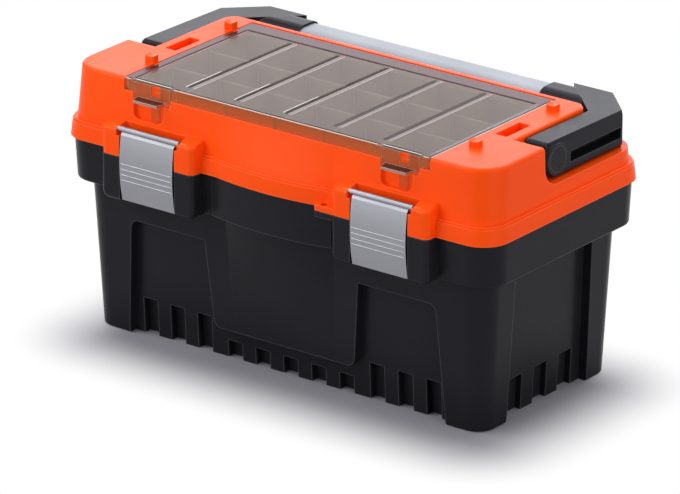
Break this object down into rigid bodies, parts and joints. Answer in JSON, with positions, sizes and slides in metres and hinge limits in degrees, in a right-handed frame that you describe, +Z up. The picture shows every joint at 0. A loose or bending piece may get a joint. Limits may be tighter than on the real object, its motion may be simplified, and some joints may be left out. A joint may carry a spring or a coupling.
{
  "type": "tool box",
  "caption": "Black tub with an orange hinged lid, a clear-covered organiser in its top, aluminium front latches and a folding grip bar between two arms.",
  "frame": {"origin": "middle of the tub's underside, on the ground", "axes": "+X along the front to the viewer's right, -Y out of the front, +Z up"},
  "size_m": [0.55, 0.3004, 0.297],
  "materials": {
    "black_plastic": "fine satin",
    "orange_plastic": "satin",
    "tray_plastic": "satin",
    "smoke_clear": "clear, lightly smoked",
    "latch_aluminium": "satin anodised",
    "bar_aluminium": "satin extruded",
    "steel": "plain"
  },
  "bodies": {
    "base": {"base_tub": "black_plastic", "hinge_pin_left": "steel", "hinge_pin_right": "steel"},
    "lid": {"lid_shell": "orange_plastic", "organiser_tray": "tray_plastic", "latch_pin_left": "steel", "latch_pin_right": "steel", "divider_1_1": "tray_plastic", "divider_1_2": "tray_plastic", "divider_2_1": "tray_plastic", "divider_2_2": "tray_plastic", "divider_3_1": "tray_plastic", "divider_3_2": "tray_plastic", "divider_4_1": "tray_plastic", "divider_4_2": "tray_plastic", "divider_5_1": "tray_plastic", "divider_5_2": "tray_plastic", "divider_6_1": "tray_plastic", "divider_6_2": "tray_plastic"},
    "handle": {"handle_arm_left": "black_plastic", "handle_arm_right": "black_plastic", "handle_sleeve_left": "black_plastic", "handle_sleeve_right": "black_plastic", "handle_bar": "bar_aluminium", "pivot_pin_left": "steel", "pivot_pin_right": "steel", "pivot_cap_left": "black_plastic", "pivot_cap_right": "black_plastic", "sleeve_screws": "steel"},
    "cover": {"organiser_cover": "smoke_clear"},
    "cover_clip_left": {"cover_clip_left": "smoke_clear"},
    "cover_clip_right": {"cover_clip_right": "smoke_clear"},
    "latch_left": {"latch_plate_left": "latch_aluminium"},
    "latch_right": {"latch_plate_right": "latch_aluminium"}
  },
  "joints": [
    {"name": "lid_hinge", "type": "hinge", "parent": "base", "child": "lid", "pos_m": [0, 0.142, 0.205], "axis": [-1, 0, 0], "range_deg": [0, 100]},
    {"name": "handle_pivot", "type": "hinge", "parent": "lid", "child": "handle", "pos_m": [0, -0.0023, 0.2658], "axis": [1, 0, 0], "range_deg": [0, 90]},
    {"name": "cover_hinge", "type": "hinge", "parent": "lid", "child": "cover", "pos_m": [0, 0.0822, 0.285], "axis": [-1, 0, 0], "range_deg": [0, 95]},
    {"name": "clip_left_hinge", "type": "hinge", "parent": "cover", "child": "cover_clip_left", "pos_m": [-0.158, -0.12515, 0.2857], "axis": [-1, 0, 0], "range_deg": [0, 80]},
    {"name": "clip_right_hinge", "type": "hinge", "parent": "cover", "child": "cover_clip_right", "pos_m": [0.158, -0.12515, 0.2857], "axis": [-1, 0, 0], "range_deg": [0, 80]},
    {"name": "latch_left_hinge", "type": "hinge", "parent": "lid", "child": "latch_left", "pos_m": [-0.148, -0.1438, 0.2396], "axis": [-1, 0, 0], "range_deg": [0, 120]},
    {"name": "latch_right_hinge", "type": "hinge", "parent": "lid", "child": "latch_right", "pos_m": [0.148, -0.1438, 0.2396], "axis": [-1, 0, 0], "range_deg": [0, 120]}
  ]
}
